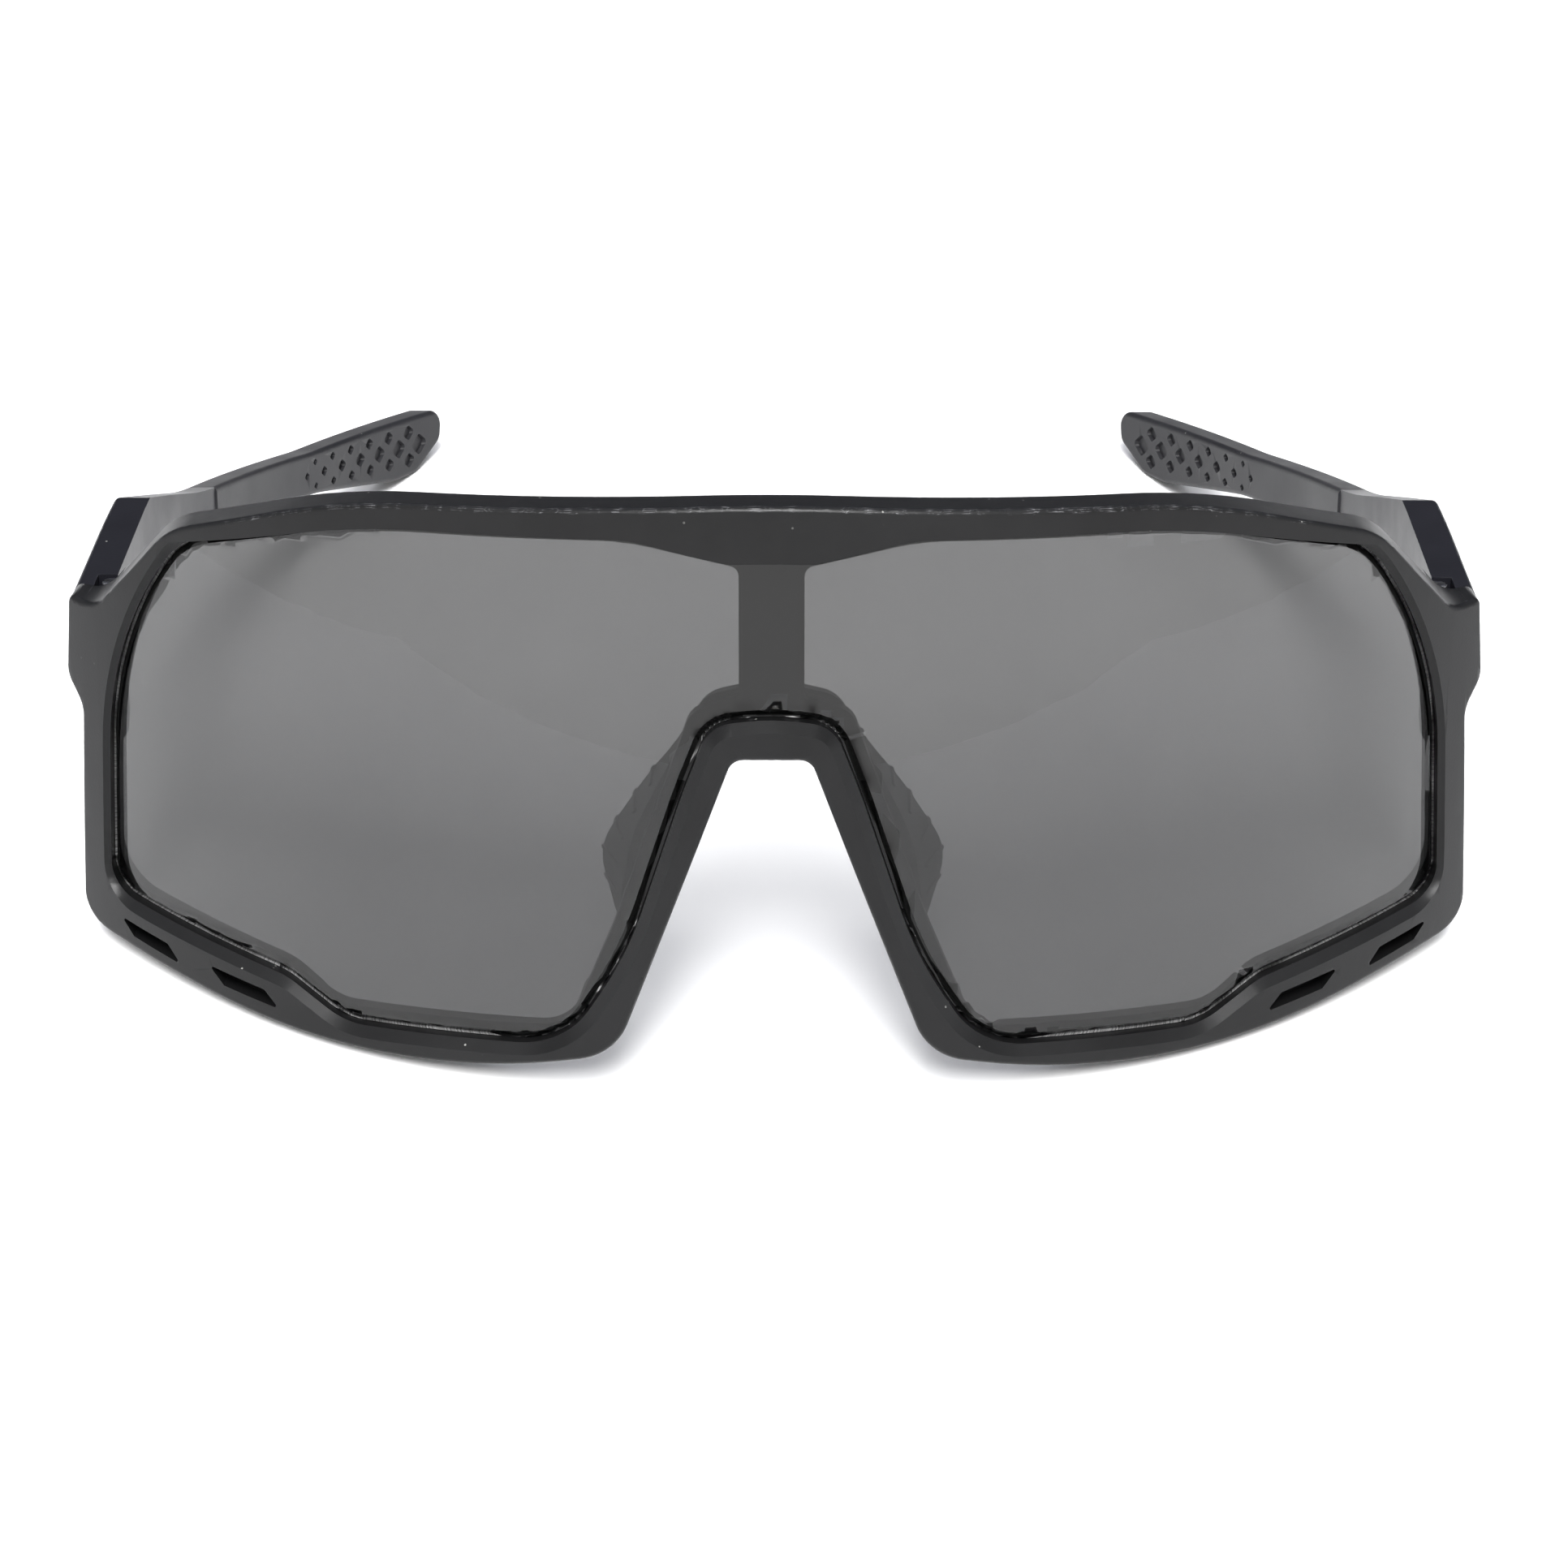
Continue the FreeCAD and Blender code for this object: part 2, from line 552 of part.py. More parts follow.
def main():
    os.makedirs("parts", exist_ok=True)
    leaf = front_leaf()
    leaf_screws = Part.makeCompound([leaf_screw(y) for y in LEAF_SCREW_PLACES])
    front = front_frame([leaf, mirrored(leaf)])
    # one side's pieces, drawn at positive X: the wearer's left when the face looks along -Y
    sided = {
        "front_leaf": leaf,
        "hinge_screw": hinge_screw(),
        "temple_leaf": temple_leaf(),
        "leaf_screws": leaf_screws,
        "arm": temple_arm(),
        "tip_sleeve": tip_sleeve(),
    }
    pieces = {"front_frame": front, "lens": lens(), "nosepiece": nosepiece()}
    for name, shape in sided.items():
        pieces["left_" + name] = shape
        pieces["right_" + name] = mirrored(shape)

    leaned = Part.makeCompound([pose(shape, 0, 0) for shape in pieces.values()])
    box = leaned.optimalBoundingBox(False)
    lift = -box.ZMin
    back = -(box.YMin + box.YMax) / 2
    for name, shape in pieces.items():
        posed = pose(shape, lift, back)
        posed.exportStep("parts/" + name + ".step")
        size = posed.optimalBoundingBox(False)
        print("%-18s solids %d valid %s volume %.1f  z %.2f..%.2f" % (
            name, len(posed.Solids), posed.isValid(), posed.Volume, size.ZMin, size.ZMax))
    hinge = pose(Part.Vertex(HINGE_X, HINGE_Y, HINGE_TOP / 2), lift, back).Point
    print("hinge axis through", hinge, "lift %.3f back %.3f" % (lift, back))
    print("box %.2f x %.2f x %.2f" % (box.XLength, box.YLength, box.ZLength))


main()
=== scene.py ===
import bpy
import json
import math
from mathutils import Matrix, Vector

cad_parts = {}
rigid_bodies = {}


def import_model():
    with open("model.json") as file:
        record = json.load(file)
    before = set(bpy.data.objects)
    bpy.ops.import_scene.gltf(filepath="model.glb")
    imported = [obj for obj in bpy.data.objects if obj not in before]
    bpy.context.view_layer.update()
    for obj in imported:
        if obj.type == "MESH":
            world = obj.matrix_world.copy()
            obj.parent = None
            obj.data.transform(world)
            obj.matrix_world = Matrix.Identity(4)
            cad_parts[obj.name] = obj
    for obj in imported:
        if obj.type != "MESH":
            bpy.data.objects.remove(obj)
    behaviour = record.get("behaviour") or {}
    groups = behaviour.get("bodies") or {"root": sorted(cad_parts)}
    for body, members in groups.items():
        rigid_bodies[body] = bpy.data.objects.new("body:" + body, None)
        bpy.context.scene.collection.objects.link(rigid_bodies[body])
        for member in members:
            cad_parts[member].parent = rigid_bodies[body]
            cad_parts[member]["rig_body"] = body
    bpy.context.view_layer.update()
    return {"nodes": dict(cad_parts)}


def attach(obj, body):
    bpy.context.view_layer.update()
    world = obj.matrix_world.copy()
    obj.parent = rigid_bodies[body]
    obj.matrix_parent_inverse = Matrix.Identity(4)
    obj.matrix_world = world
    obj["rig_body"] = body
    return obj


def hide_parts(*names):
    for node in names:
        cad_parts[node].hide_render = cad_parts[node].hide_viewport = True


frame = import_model()
MM = 0.001

# ---- The moulded front -----------------------------------------------------------------
# One piece of black nylon, injection moulded: brow, side rims, nose arch and lower rims.
# It comes out of a fine-etched mould with every edge a little rounded, and handling has
# rubbed its top front edge glossier and left some dust on it. That edge also carries a
# painted highlight: thin pale broken lines where it faces up.
NYLON_BLACK = (0.0070, 0.0070, 0.0074)
# painted highlight: the pale colour of rubbed edges where they face up
NYLON_RUBBED_GLINT = (0.42, 0.42, 0.44)
NYLON_ROUGHNESS = 0.34
NYLON_GLOSS = 0.21
BROW_HEIGHT = 52.0                  # the rubbed edges and their painted highlight start at about this height, in millimetres
FRONT_ROUNDING = 0.16
NOISE_SPAN = {"in_1": 0.3, "in_2": 0.7}      # a noise seldom leaves this range
TONE_DRIFT = {"in_3": 0.85, "in_4": 1.2}
EDGE_TURN = {"in_1": 0.99, "in_2": 0.93}     # cosines: from hardly turned to a full edge
GLINT_RISE = {"in_1": 0.3, "in_2": 0.45}      # how far up a rubbed edge has to face to get the painted highlight
PATCHES = {"in_1": 0.48, "in_2": 0.58, "in_3": 0.04, "in_4": 1.0}
DUST_SLOPE = {"in_1": 0.1, "in_2": 0.7}      # dust lies on faces that face up this much
DUST_PALE = (0.22, 0.22, 0.21)
RUBBED_POLISH = 0.6                 # roughness left on a rubbed edge
MERGE = 0.002                       # vertices nearer than this are one, in millimetres
FLAT_TURN = 0.2                     # faces that turn less than this are one, in degrees
EDGE_ANGLE = 28.0                   # corners sharper than this are edges, in degrees


def new_group(name, inputs, outputs):
    """An empty shader group with its float sockets and its two end nodes."""
    group = bpy.data.node_groups.new(name, "ShaderNodeTree")
    for label, value in inputs:
        socket = group.interface.new_socket(label, in_out="INPUT", socket_type="NodeSocketFloat")
        socket.default_value = value
    for label in outputs:
        group.interface.new_socket(label, in_out="OUTPUT", socket_type="NodeSocketFloat")
    return group, group.nodes.new("NodeGroupInput"), group.nodes.new("NodeGroupOutput")


def node_in(tree, kind, **settings):
    """Adds a node: in_ settings go to its inputs, as a link or a value, the rest to itself."""
    node = tree.nodes.new(kind)
    for key, value in settings.items():
        if not key.startswith("in_"):
            setattr(node, key, value)
            continue
        name = key[3:].replace("_", " ")
        socket = node.inputs[int(name)] if name.isdigit() else node.inputs[name]
        if isinstance(value, bpy.types.NodeSocket):
            tree.links.new(value, socket)
        else:
            socket.default_value = value
    return node


def in_millimetres(tree):
    """The object's own place as a pattern's place, in millimetres."""
    place = node_in(tree, "ShaderNodeTexCoord")
    scaled = node_in(tree, "ShaderNodeVectorMath", operation="SCALE",
                     in_0=place.outputs["Object"], in_Scale=1 / MM)
    return scaled.outputs["Vector"]


def per_size(tree, size):
    """Pattern scale for features of a size that a socket gives, in millimetres."""
    return node_in(tree, "ShaderNodeMath", operation="DIVIDE", in_0=1.0, in_1=size).outputs["Value"]


def build_grain():
    """Etched mould grain: a fine pebble height, and a slow drift of gloss."""
    group, start, end = new_group("mould_grain", [("Pebble Size", 0.25), ("Drift Size", 9.0)],
                                  ["Height", "Drift"])
    place = in_millimetres(group)
    pebble = node_in(group, "ShaderNodeTexNoise", in_Vector=place, in_Detail=2.0,
                     in_Scale=per_size(group, start.outputs["Pebble Size"]), in_Roughness=0.6)
    drift = node_in(group, "ShaderNodeTexNoise", in_Vector=place, in_Detail=4.0,
                    in_Scale=per_size(group, start.outputs["Drift Size"]), in_Roughness=0.55)
    group.links.new(pebble.outputs["Fac"], end.inputs["Height"])
    group.links.new(drift.outputs["Fac"], end.inputs["Drift"])
    return group


def build_rubbing_and_glints():
    """Rubbed edges with a painted highlight: thin broken lines where the surface turns upwards,
    above a height.
    """
    group, start, end = new_group("rubbed_edges_and_glints", [
        ("Width", 0.22), ("Amount", 1.0), ("Patch Size", 1.3), ("Above", -100.0)], ["Mask"])
    width = node_in(group, "ShaderNodeMath", operation="MULTIPLY",
                    in_0=start.outputs["Width"], in_1=MM)
    soft = node_in(group, "ShaderNodeBevel", samples=4, in_Radius=width.outputs["Value"])
    flat = node_in(group, "ShaderNodeNewGeometry")
    match = node_in(group, "ShaderNodeVectorMath", operation="DOT_PRODUCT",
                    in_0=soft.outputs["Normal"], in_1=flat.outputs["True Normal"])
    turn = node_in(group, "ShaderNodeMapRange", in_0=match.outputs["Value"], **EDGE_TURN)
    leaning = node_in(group, "ShaderNodeSeparateXYZ", in_Vector=soft.outputs["Normal"])
    upward = node_in(group, "ShaderNodeMapRange", in_0=leaning.outputs["Z"], **GLINT_RISE)
    place = in_millimetres(group)
    patch = node_in(group, "ShaderNodeTexNoise", in_Vector=place, in_Detail=5.0,
                    in_Scale=per_size(group, start.outputs["Patch Size"]), in_Roughness=0.7)
    patchy = node_in(group, "ShaderNodeMapRange", in_0=patch.outputs["Fac"], **PATCHES)
    height = node_in(group, "ShaderNodeSeparateXYZ", in_Vector=place)
    over = node_in(group, "ShaderNodeMath", operation="SUBTRACT", in_0=height.outputs["Z"],
                   in_1=start.outputs["Above"], use_clamp=True)
    mask = turn.outputs["Result"]
    for factor in (upward.outputs["Result"], patchy.outputs["Result"], over.outputs["Value"],
                   start.outputs["Amount"]):
        mask = node_in(group, "ShaderNodeMath", operation="MULTIPLY", use_clamp=True,
                       in_0=mask, in_1=factor).outputs["Value"]
    group.links.new(mask, end.inputs["Mask"])
    return group


def build_dust():
    """Dust: a few pale specks on the surfaces that face up."""
    group, start, end = new_group("dust_specks", [("Spacing", 1.7), ("Speck Size", 0.07),
                                                  ("Share", 0.22)], ["Mask"])
    place = in_millimetres(group)
    cells = node_in(group, "ShaderNodeTexVoronoi", in_Vector=place,
                    in_Scale=per_size(group, start.outputs["Spacing"]))
    reach = node_in(group, "ShaderNodeMath", operation="LESS_THAN",
                    in_0=cells.outputs["Distance"], in_1=start.outputs["Speck Size"])
    tint = node_in(group, "ShaderNodeSeparateColor", in_Color=cells.outputs["Color"])
    chosen = node_in(group, "ShaderNodeMath", operation="LESS_THAN",
                     in_0=tint.outputs["Red"], in_1=start.outputs["Share"])
    facing = node_in(group, "ShaderNodeNewGeometry")
    upward = node_in(group, "ShaderNodeSeparateXYZ", in_Vector=facing.outputs["Normal"])
    lying = node_in(group, "ShaderNodeMapRange", in_0=upward.outputs["Z"], **DUST_SLOPE)
    mask = reach.outputs["Value"]
    for factor in (chosen.outputs["Value"], lying.outputs["Result"]):
        mask = node_in(group, "ShaderNodeMath", operation="MULTIPLY",
                       in_0=mask, in_1=factor).outputs["Value"]
    group.links.new(mask, end.inputs["Mask"])
    return group


GRAIN = build_grain()
RUBBING_AND_GLINT = build_rubbing_and_glints()
DUST = build_dust()


def new_material(name):
    """A material with its node tree and its shader."""
    material = bpy.data.materials.new(name)
    material.use_nodes = True
    return material, material.node_tree, material.node_tree.nodes["Principled BSDF"]


def moulded(name, colour, rubbed_glint, roughness, gloss_level=NYLON_GLOSS, pebble=0.25, relief=0.012,
            wear_and_glint=1.0, above=-100.0, dust=0.22):
    """Moulded plastic or rubber: grain relief, drifting gloss, rubbed edges with a painted
    highlight, dust.
    """
    material, tree, shader = new_material(name)
    grain = node_in(tree, "ShaderNodeGroup", node_tree=GRAIN, in_Pebble_Size=pebble)
    edges = node_in(tree, "ShaderNodeGroup", node_tree=RUBBING_AND_GLINT, in_Amount=wear_and_glint, in_Above=above)
    specks = node_in(tree, "ShaderNodeGroup", node_tree=DUST, in_Share=dust)
    drifting = node_in(tree, "ShaderNodeMapRange", in_0=grain.outputs["Drift"], **NOISE_SPAN,
                       **TONE_DRIFT)
    tone = node_in(tree, "ShaderNodeVectorMath", operation="SCALE", in_0=colour,
                   in_Scale=drifting.outputs["Result"])
    # rubbed edges painted pale where they face up: a painted highlight
    worn_and_glinting = node_in(tree, "ShaderNodeMix", data_type="RGBA", in_0=edges.outputs["Mask"],
                   in_6=tone.outputs["Vector"], in_7=(*rubbed_glint, 1))
    dusty = node_in(tree, "ShaderNodeMix", data_type="RGBA", in_0=specks.outputs["Mask"],
                    in_6=worn_and_glinting.outputs[2], in_7=(*DUST_PALE, 1))
    gloss = node_in(tree, "ShaderNodeMapRange", in_0=grain.outputs["Drift"], **NOISE_SPAN,
                    in_3=roughness - 0.04, in_4=roughness + 0.05)
    polished = node_in(tree, "ShaderNodeMix", data_type="FLOAT", in_0=edges.outputs["Mask"],
                       in_2=gloss.outputs["Result"], in_3=roughness * RUBBED_POLISH)
    bump = node_in(tree, "ShaderNodeBump", in_Strength=0.5, in_Distance=relief * MM,
                   in_Height=grain.outputs["Height"])
    tree.links.new(dusty.outputs[2], shader.inputs["Base Color"])
    tree.links.new(polished.outputs[0], shader.inputs["Roughness"])
    tree.links.new(bump.outputs["Normal"], shader.inputs["Normal"])
    shader.inputs["Specular IOR Level"].default_value = gloss_level
    return material


def merged_copy(node):
    """A copy of a CAD node, with its loose triangles joined."""
    bpy.ops.object.select_all(action="DESELECT")
    source = frame["nodes"][node]
    source.select_set(True)
    bpy.context.view_layer.objects.active = source
    bpy.ops.object.duplicate()
    copy = bpy.context.object
    copy.name = node + "_skin"
    bpy.ops.object.mode_set(mode="EDIT")
    bpy.ops.mesh.select_all(action="SELECT")
    bpy.ops.mesh.remove_doubles(threshold=MERGE * MM)
    bpy.ops.object.mode_set(mode="OBJECT")
    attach(copy, source["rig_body"])
    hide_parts(node)
    return copy


def softened(node, radius, segments=3):
    """A merged copy of a CAD node whose sharp edges are rounded, as they leave the mould."""
    copy = merged_copy(node)
    bpy.ops.object.mode_set(mode="EDIT")
    bpy.ops.mesh.dissolve_limited(angle_limit=math.radians(FLAT_TURN))
    bpy.ops.object.mode_set(mode="OBJECT")
    rounding = copy.modifiers.new("rounding", "BEVEL")
    rounding.width = radius * MM
    rounding.segments = segments
    rounding.limit_method = "ANGLE"
    rounding.angle_limit = math.radians(EDGE_ANGLE)
    rounding.harden_normals = True
    bpy.ops.object.modifier_apply(modifier="rounding")
    bpy.ops.object.shade_smooth_by_angle(angle=math.radians(EDGE_ANGLE))
    evening = copy.modifiers.new("evening", "WEIGHTED_NORMAL")
    evening.keep_sharp = True
    bpy.ops.object.modifier_apply(modifier="evening")
    return copy


frame_nylon = moulded("frame_nylon", NYLON_BLACK, NYLON_RUBBED_GLINT, NYLON_ROUGHNESS,
                      above=BROW_HEIGHT)
front = softened("front_frame", FRONT_ROUNDING)
front.material_slots[0].material = frame_nylon

# ---- The lens --------------------------------------------------------------------------
# One curved polycarbonate shield, dyed neutral grey and hard coated, snapped into the front.
# It is cut to shape on a mill, which leaves fine cross marks on the ledge round its edge.
# Its clear chamfer, and the ledge near the nose, are opaque black: painted shade.
LENS_DYE = (0.098, 0.098, 0.098)
LENS_SHADE = (0.65, 0.65, 0.65)     # light that reaches the table through the sheet
LENS_ROUGHNESS = 0.0
LENS_INDEX = 1.5                    # as the hard coat shows it
MILLED_GREY = (0.34, 0.34, 0.34)
MILLED_DARK = (0.06, 0.06, 0.06)
MILLED_FROM = 27.0                  # the marks show this far from the middle and beyond; nearer, the ledge has painted shade
MILLED_ROUGHNESS = 0.32
MARK_SPACING = 0.16
MARK_SPAN = {"in_1": 0.35, "in_2": 0.65}
MARK_DEPTH = 0.03
# painted shade: opaque black on the lens's clear chamfer and on its ledge near the nose
BEVEL_PAINTED_SHADE = (0.006, 0.006, 0.006)
BEVEL_INDEX = 1.3                   # low, so that the narrow bevel stays dark
BEVEL_SHEEN = {"in_3": 0.10, "in_4": 0.22}
SMEAR = {"in_3": 0.97, "in_4": 1.03}
WRAP = 100.0                        # radii of the lens's curve, in millimetres
CROWN = 400.0
LEAN = math.radians(11.22)          # of the pair on the table
FACE_CENTRE = (-72.905, 34.562)     # how far back and up the front's own centre is
FACE_DEPTH = 1.5                    # of the lens's face below the rim's, in millimetres
BACK_DEPTH = 3.0                    # and of its back
LEDGE_DEPTHS = (1.75, 2.9)          # the milled faces start between these depths
DEPTH_PLAY = 0.05                   # a corner this near to a depth lies at it
EYE_MIDDLE = (43.0, -3.0)           # the marks are counted by the turn round this point
EYE_REACH = 27.0
GREY, MILLED, BEVEL = range(3)      # places of the lens's materials
LENS_EDGE_ANGLE = 20.0

lens = merged_copy("lens")
bpy.ops.object.shade_smooth_by_angle(angle=math.radians(LENS_EDGE_ANGLE))


def upright(point):
    """A point of the leaning lens, in millimetres, as it is with the lens upright."""
    back, up = point.y / MM - FACE_CENTRE[0], point.z / MM - FACE_CENTRE[1]
    return (point.x / MM, back * math.cos(LEAN) - up * math.sin(LEAN),
            back * math.sin(LEAN) + up * math.cos(LEAN))


def depth_of(point):
    """How far a point of the lens lies below the rim's face, in millimetres."""
    x, back, up = upright(point)
    return CROWN - math.hypot(math.hypot(x, back - WRAP) + CROWN - WRAP, up)


def outward(point):
    """The lens's own normal at a point of it, out of its curve."""
    x, back, up = upright(point)
    reach = math.hypot(x, back - WRAP)
    crown = reach + CROWN - WRAP
    level = Vector((x * crown / reach, (back - WRAP) * crown / reach, up)).normalized()
    return (level.x, level.y * math.cos(LEAN) + level.z * math.sin(LEAN),
            level.z * math.cos(LEAN) - level.y * math.sin(LEAN))


lens_grey, tree, shader = new_material("lens_grey")
shader.inputs["IOR"].default_value = LENS_INDEX
shader.inputs["Transmission Weight"].default_value = 1.0
shader.inputs["Roughness"].default_value = LENS_ROUGHNESS
smear = node_in(tree, "ShaderNodeGroup", node_tree=GRAIN, in_Drift_Size=14.0)
haze = node_in(tree, "ShaderNodeMapRange", in_0=smear.outputs["Drift"], **NOISE_SPAN, **SMEAR)
dyed = node_in(tree, "ShaderNodeVectorMath", operation="SCALE", in_0=LENS_DYE,
               in_Scale=haze.outputs["Result"])
tree.links.new(dyed.outputs["Vector"], shader.inputs["Base Color"])
passing = node_in(tree, "ShaderNodeBsdfTransparent", in_Color=(*LENS_SHADE, 1))
path = node_in(tree, "ShaderNodeLightPath")
blend = node_in(tree, "ShaderNodeMixShader", in_0=path.outputs["Is Shadow Ray"],
                in_1=shader.outputs["BSDF"], in_2=passing.outputs["BSDF"])
tree.links.new(blend.outputs["Shader"], tree.nodes["Material Output"].inputs["Surface"])

lens_milled, tree, shader = new_material("lens_milled")
along = node_in(tree, "ShaderNodeAttribute", attribute_name="along_edge")
marks = node_in(tree, "ShaderNodeTexNoise", noise_dimensions="1D", in_W=along.outputs["Fac"],
                in_Scale=1 / MARK_SPACING, in_Detail=2.0)
streak = node_in(tree, "ShaderNodeMapRange", in_0=marks.outputs["Fac"], **MARK_SPAN)
cut = node_in(tree, "ShaderNodeMix", data_type="RGBA", in_0=streak.outputs["Result"],
              in_6=(*MILLED_DARK, 1), in_7=(*MILLED_GREY, 1))
ridge = node_in(tree, "ShaderNodeBump", in_Strength=0.6, in_Distance=MARK_DEPTH * MM,
                in_Height=marks.outputs["Fac"])
tree.links.new(cut.outputs[2], shader.inputs["Base Color"])
tree.links.new(ridge.outputs["Normal"], shader.inputs["Normal"])
shader.inputs["Roughness"].default_value = MILLED_ROUGHNESS
shader.inputs["IOR"].default_value = LENS_INDEX

# painted shade: the clear chamfer and near-nose ledge made opaque black
lens_bevel_shade, tree, shader = new_material("lens_bevel_shade")
grain = node_in(tree, "ShaderNodeGroup", node_tree=GRAIN, in_Drift_Size=3.0)
sheen = node_in(tree, "ShaderNodeMapRange", in_0=grain.outputs["Drift"], **NOISE_SPAN,
                **BEVEL_SHEEN)
tree.links.new(sheen.outputs["Result"], shader.inputs["Roughness"])
shader.inputs["Base Color"].default_value = (*BEVEL_PAINTED_SHADE, 1)
shader.inputs["IOR"].default_value = BEVEL_INDEX

lens.material_slots[GREY].material = lens_grey
lens.data.materials.append(lens_milled)
lens.data.materials.append(lens_bevel_shade)
along_edge = lens.data.attributes.new("along_edge", "FLOAT", "POINT")
for spot in lens.data.vertices:
    x, back, up = upright(spot.co)
    turn = math.atan2(up - EYE_MIDDLE[1], abs(x) - EYE_MIDDLE[0])
    along_edge.data[spot.index].value = turn * EYE_REACH
normals = [(0.0, 0.0, 0.0)] * len(lens.data.loops)
for face in lens.data.polygons:
    depths = [depth_of(lens.data.vertices[i].co) for i in face.vertices]
    # the chamfer, and the ledge near the nose, get the painted shade
    if LEDGE_DEPTHS[0] < min(depths) < LEDGE_DEPTHS[1]:
        face.material_index = MILLED if abs(face.center.x) > MILLED_FROM * MM else BEVEL
    elif min(depths) < LEDGE_DEPTHS[0] < max(depths):
        face.material_index = BEVEL
    for depth, sign in ((FACE_DEPTH, 1), (BACK_DEPTH, -1)):
        if max(abs(spot - depth) for spot in depths) < DEPTH_PLAY:
            for loop in face.loop_indices:
                corner = lens.data.vertices[lens.data.loops[loop].vertex_index].co
                normals[loop] = [sign * part for part in outward(corner)]
lens.data.normals_split_custom_set(normals)

# ---- The nosepiece ---------------------------------------------------------------------
# One soft rubber saddle, pressed onto two pegs behind the nose arch, with a wide pad and
# five fine grip ribs on each side.
RUBBER_BLACK = (0.014, 0.014, 0.015)
# painted highlight: a slightly paler colour on rubbed edges where they face up
RUBBER_RUBBED_GLINT = (0.026, 0.026, 0.027)
RUBBER_ROUGHNESS = 0.48
RUBBER_PEBBLE = 0.18
NOSE_ROUNDING = 0.2
nose_rubber = moulded("nose_rubber", RUBBER_BLACK, RUBBER_RUBBED_GLINT, RUBBER_ROUGHNESS,
                      pebble=RUBBER_PEBBLE, wear_and_glint=0.4, dust=0.05)
nosepiece = softened("nosepiece", NOSE_ROUNDING)
nosepiece.material_slots[0].material = nose_rubber

# ---- The hinges ------------------------------------------------------------------------
# Steel leaves with three knuckles on the front and two on the temple, blackened by
# tumbling, joined by one bright slotted screw; two countersunk screws hold each arm's leaf.
LEAF_STEEL = (0.10, 0.10, 0.105)
SCREW_STEEL = (0.34, 0.34, 0.35)
LEAF_ROUGHNESS = 0.4
SCREW_ROUGHNESS = 0.28
FILM_DULLING = 0.55
LINE_STRETCH = (1.0, 9.0, 9.0)
LINE_DEPTH = 0.01
LEAF_ROUNDING = 0.07


def build_drawing():
    """Drawn steel: fine lines along the part, under a dull film that varies over it."""
    group, start, end = new_group("drawn_steel", [("Line Scale", 1.0), ("Film Scale", 0.8)],
                                  ["Lines", "Film"])
    place = in_millimetres(group)
    drawn = node_in(group, "ShaderNodeMapping", in_Vector=place, in_Scale=LINE_STRETCH)
    lines = node_in(group, "ShaderNodeTexNoise", in_Vector=drawn.outputs["Vector"],
                    in_Scale=start.outputs["Line Scale"], in_Detail=3.0)
    film = node_in(group, "ShaderNodeTexNoise", in_Vector=place,
                   in_Scale=start.outputs["Film Scale"], in_Detail=3.0)
    group.links.new(lines.outputs["Fac"], end.inputs["Lines"])
    group.links.new(film.outputs["Fac"], end.inputs["Film"])
    return group


DRAWING = build_drawing()


def brushed(name, colour, roughness):
    """Drawn steel of a colour, with its lines in relief and darker under its film."""
    material, tree, shader = new_material(name)
    drawn = node_in(tree, "ShaderNodeGroup", node_tree=DRAWING)
    filmed = [FILM_DULLING * level for level in colour]
    dull = node_in(tree, "ShaderNodeMix", data_type="RGBA", in_0=drawn.outputs["Film"],
                   in_6=(*colour, 1), in_7=(*filmed, 1))
    gloss = node_in(tree, "ShaderNodeMapRange", in_0=drawn.outputs["Lines"], **NOISE_SPAN,
                    in_3=roughness - 0.1, in_4=roughness + 0.1)
    bump = node_in(tree, "ShaderNodeBump", in_Strength=0.4, in_Distance=LINE_DEPTH * MM,
                   in_Height=drawn.outputs["Lines"])
    shader.inputs["Metallic"].default_value = 1.0
    tree.links.new(dull.outputs[2], shader.inputs["Base Color"])
    tree.links.new(gloss.outputs["Result"], shader.inputs["Roughness"])
    tree.links.new(bump.outputs["Normal"], shader.inputs["Normal"])
    return material


hinge_steel = brushed("hinge_steel", LEAF_STEEL, LEAF_ROUGHNESS)
screw_steel = brushed("screw_steel", SCREW_STEEL, SCREW_ROUGHNESS)
for side in ("left", "right"):
    for piece in ("front_leaf", "temple_leaf"):
        leaf = softened(side + "_" + piece, LEAF_ROUNDING, segments=2)
        leaf.material_slots[0].material = hinge_steel
    for piece in ("hinge_screw", "leaf_screws"):
        frame["nodes"][side + "_" + piece].material_slots[0].material = screw_steel

# ---- The arms --------------------------------------------------------------------------
# Two black nylon arms, moulded, thick at the hinge and slim behind it. Their top faces are
# a little bluer than the front, and carry dust.
ARM_BLACK = (0.0095, 0.0095, 0.0125)
# painted highlight: a paler colour on rubbed edges where they face up
ARM_RUBBED_GLINT = (0.045, 0.045, 0.050)
ARM_ROUGHNESS = 0.33
ARM_GLOSS = 0.14
ARM_ROUNDING = 0.15
arm_nylon = moulded("arm_nylon", ARM_BLACK, ARM_RUBBED_GLINT, ARM_ROUGHNESS, ARM_GLOSS, wear_and_glint=0.5,
                    dust=0.3)
for side in ("left", "right"):
    arm = softened(side + "_arm", ARM_ROUNDING)
    arm.material_slots[0].material = arm_nylon

# ---- The tip sleeves -------------------------------------------------------------------
# Soft rubber moulded over each arm's tongue, butted against the arm at a fine groove, with
# diamond grip recesses on the inner face that grow towards the tip.
TIP_BLACK = (0.0135, 0.0135, 0.0155)
TIP_ROUGHNESS = 0.42
TIP_ROUNDING = 0.1
# its rubbed edges get a slightly paler painted highlight where they face up
tip_rubber = moulded("tip_rubber", TIP_BLACK, RUBBER_RUBBED_GLINT, TIP_ROUGHNESS,
                     pebble=RUBBER_PEBBLE, wear_and_glint=0.5, dust=0.3)
for side in ("left", "right"):
    sleeve = softened(side + "_tip_sleeve", TIP_ROUNDING, segments=2)
    sleeve.material_slots[0].material = tip_rubber

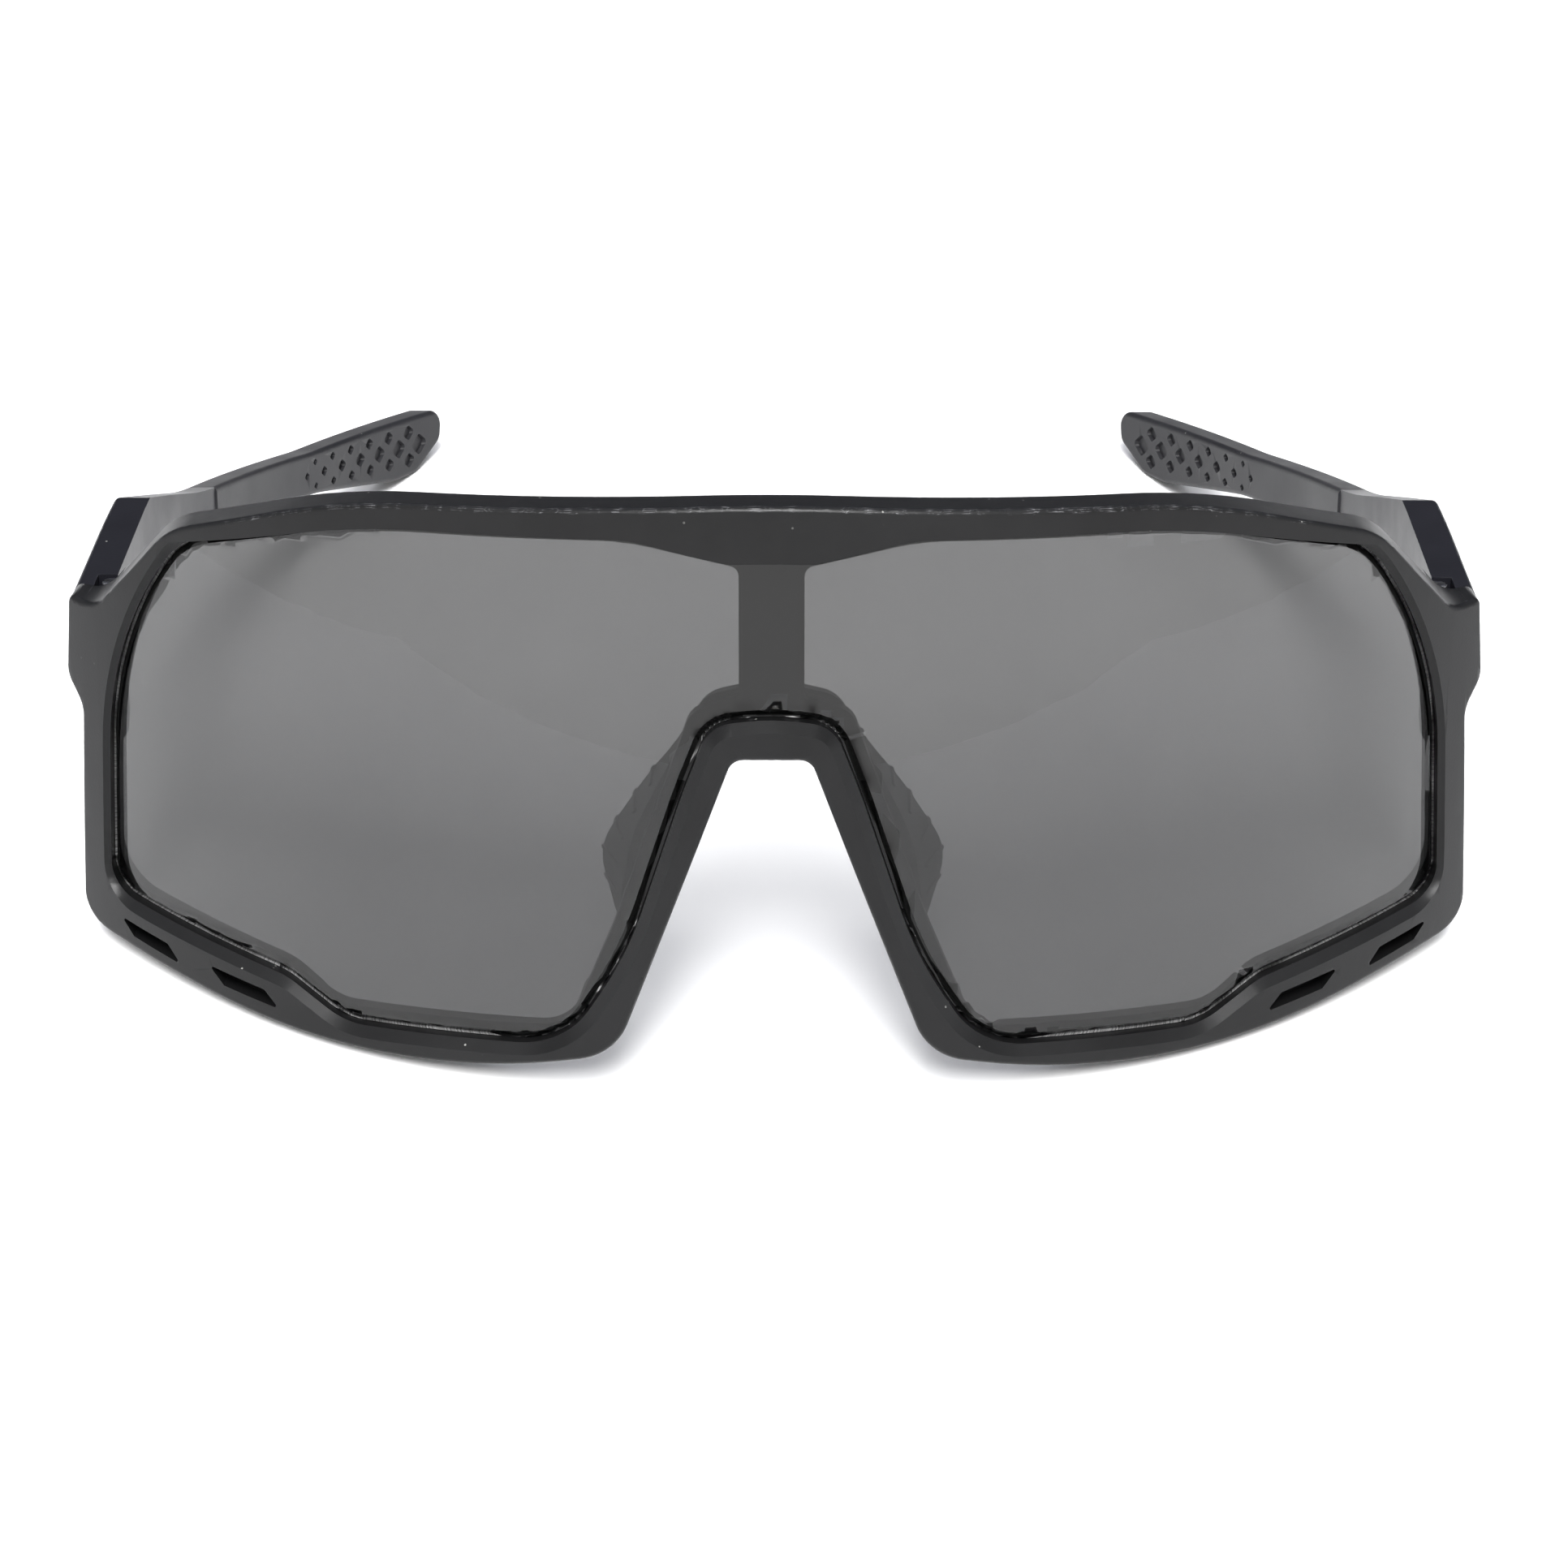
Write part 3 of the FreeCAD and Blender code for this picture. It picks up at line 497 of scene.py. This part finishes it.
# ---- The studio ------------------------------------------------------------------------
# A plain white table in a pale room, lit by one large softbox above and in front, with a dim
# bluish wall behind, so that black plastic keeps its shape.
FLOOR_HALF = 0.34                   # in metres
FLOOR_DROP = 0.05                   # keeps the table clear of the pair, in millimetres
FLOOR_WHITE = (0.96, 0.96, 0.96, 1)
FLOOR_ROUGHNESS = 0.9
FLOOR_SHEEN = 0.1
BRIGHTEST = 2.0                     # the highest level that the lists below may hold
FRONT_ROOM = [(0.0, 1.65), (0.20, 1.45), (0.5, 0.6), (1.0, 1.1)]
BACK_ROOM = [(0.0, 0.06), (0.30, 0.14), (0.70, 0.6), (1.0, 1.1)]
ROOM_TINT = (0.82, 0.85, 1.0, 1)
BACK_WALL = {"in_1": -0.1, "in_2": 0.7}      # where the room turns from front to back
SOFTBOX_POWER = 16.0
SOFTBOX_EDGES = {"in_1": 0.08, "in_2": 0.22}
SOFTBOX_FRONT = {"in_1": -0.2, "in_2": 0.0, "in_3": 1.0, "in_4": 0.0}
SOFTBOX_HEIGHTS = [(0.0, 0.0), (0.58, 0.0), (0.66, 2.0), (0.88, 2.0), (0.94, 0.0), (1.0, 0.0)]
bpy.ops.object.select_all(action="DESELECT")
bpy.ops.mesh.primitive_plane_add(size=2 * FLOOR_HALF, location=(0, 0, -FLOOR_DROP * MM))
floor = bpy.context.object
floor.name = "floor"
white_table, tree, shader = new_material("white_table")
shader.inputs["Base Color"].default_value = FLOOR_WHITE
shader.inputs["Roughness"].default_value = FLOOR_ROUGHNESS
shader.inputs["Specular IOR Level"].default_value = FLOOR_SHEEN
floor.data.materials.append(white_table)

world = bpy.data.worlds.new("studio")
world.use_nodes = True
bpy.context.scene.world = world
tree = world.node_tree


def panel_curve(stops, height):
    """Brightness by the sine of the height above the horizon."""
    ramp = node_in(tree, "ShaderNodeValToRGB", in_Fac=height)
    ramp.color_ramp.interpolation = "EASE"
    bars = ramp.color_ramp.elements
    while len(bars) < len(stops):
        bars.new(0.5)
    for bar, (place, level) in zip(bars, stops):
        bar.position = place
        bar.color = (*[level / BRIGHTEST] * 3, 1)
    return ramp.outputs["Color"]


place = node_in(tree, "ShaderNodeTexCoord")
axes = node_in(tree, "ShaderNodeSeparateXYZ", in_Vector=place.outputs["Generated"])
behind = node_in(tree, "ShaderNodeMapRange", in_0=axes.outputs["Y"], **BACK_WALL)
light = node_in(tree, "ShaderNodeMix", data_type="RGBA", in_0=behind.outputs["Result"],
                in_6=panel_curve(FRONT_ROOM, axes.outputs["Z"]),
                in_7=panel_curve(BACK_ROOM, axes.outputs["Z"]))
tinted = node_in(tree, "ShaderNodeMix", data_type="RGBA", blend_type="MULTIPLY",
                 in_0=behind.outputs["Result"], in_6=light.outputs[2], in_7=ROOM_TINT)
aside = node_in(tree, "ShaderNodeMath", operation="ABSOLUTE", in_0=axes.outputs["X"])
middle = node_in(tree, "ShaderNodeMapRange", in_0=aside.outputs["Value"], **SOFTBOX_EDGES,
                 in_3=SOFTBOX_POWER, in_4=0.0)
before = node_in(tree, "ShaderNodeMapRange", in_0=axes.outputs["Y"], **SOFTBOX_FRONT)
strength = node_in(tree, "ShaderNodeMath", operation="MULTIPLY", in_0=middle.outputs["Result"],
                   in_1=before.outputs["Result"])
softbox = node_in(tree, "ShaderNodeVectorMath", operation="SCALE",
                  in_0=panel_curve(SOFTBOX_HEIGHTS, axes.outputs["Z"]),
                  in_Scale=strength.outputs["Value"])
whole = node_in(tree, "ShaderNodeVectorMath", operation="ADD", in_0=tinted.outputs[2],
                in_1=softbox.outputs["Vector"])
tree.links.new(whole.outputs["Vector"], tree.nodes["Background"].inputs["Color"])
tree.nodes["Background"].inputs["Strength"].default_value = BRIGHTEST

# ---- The camera ------------------------------------------------------------------------
# A long lens in front of the pair and above it, aimed at the middle of the front. It stands
# at the distance that the sizes of the part were worked out with.
TARGET = Vector((1.2, *FACE_CENTRE)) * MM
CAMERA_DISTANCE = 350.0 * MM
ELEVATION = math.radians(30.22)
AZIMUTH = math.radians(-0.27)
SENSOR = 36.0
FOCAL_LENGTH = 84.39
camera = bpy.data.objects.new("camera", bpy.data.cameras.new("camera"))
camera.data.sensor_width = SENSOR
camera.data.lens = FOCAL_LENGTH
camera.data.clip_start = 0.01
ahead = Vector((math.sin(AZIMUTH) * math.cos(ELEVATION), math.cos(AZIMUTH) * math.cos(ELEVATION),
                -math.sin(ELEVATION)))
camera.location = TARGET - ahead * CAMERA_DISTANCE
camera.rotation_mode = "QUATERNION"
camera.rotation_quaternion = ahead.to_track_quat("-Z", "Y")
bpy.context.scene.collection.objects.link(camera)
bpy.context.scene.camera = camera
bpy.context.scene.view_settings.view_transform = "Standard"
bpy.context.scene.view_settings.look = "None"
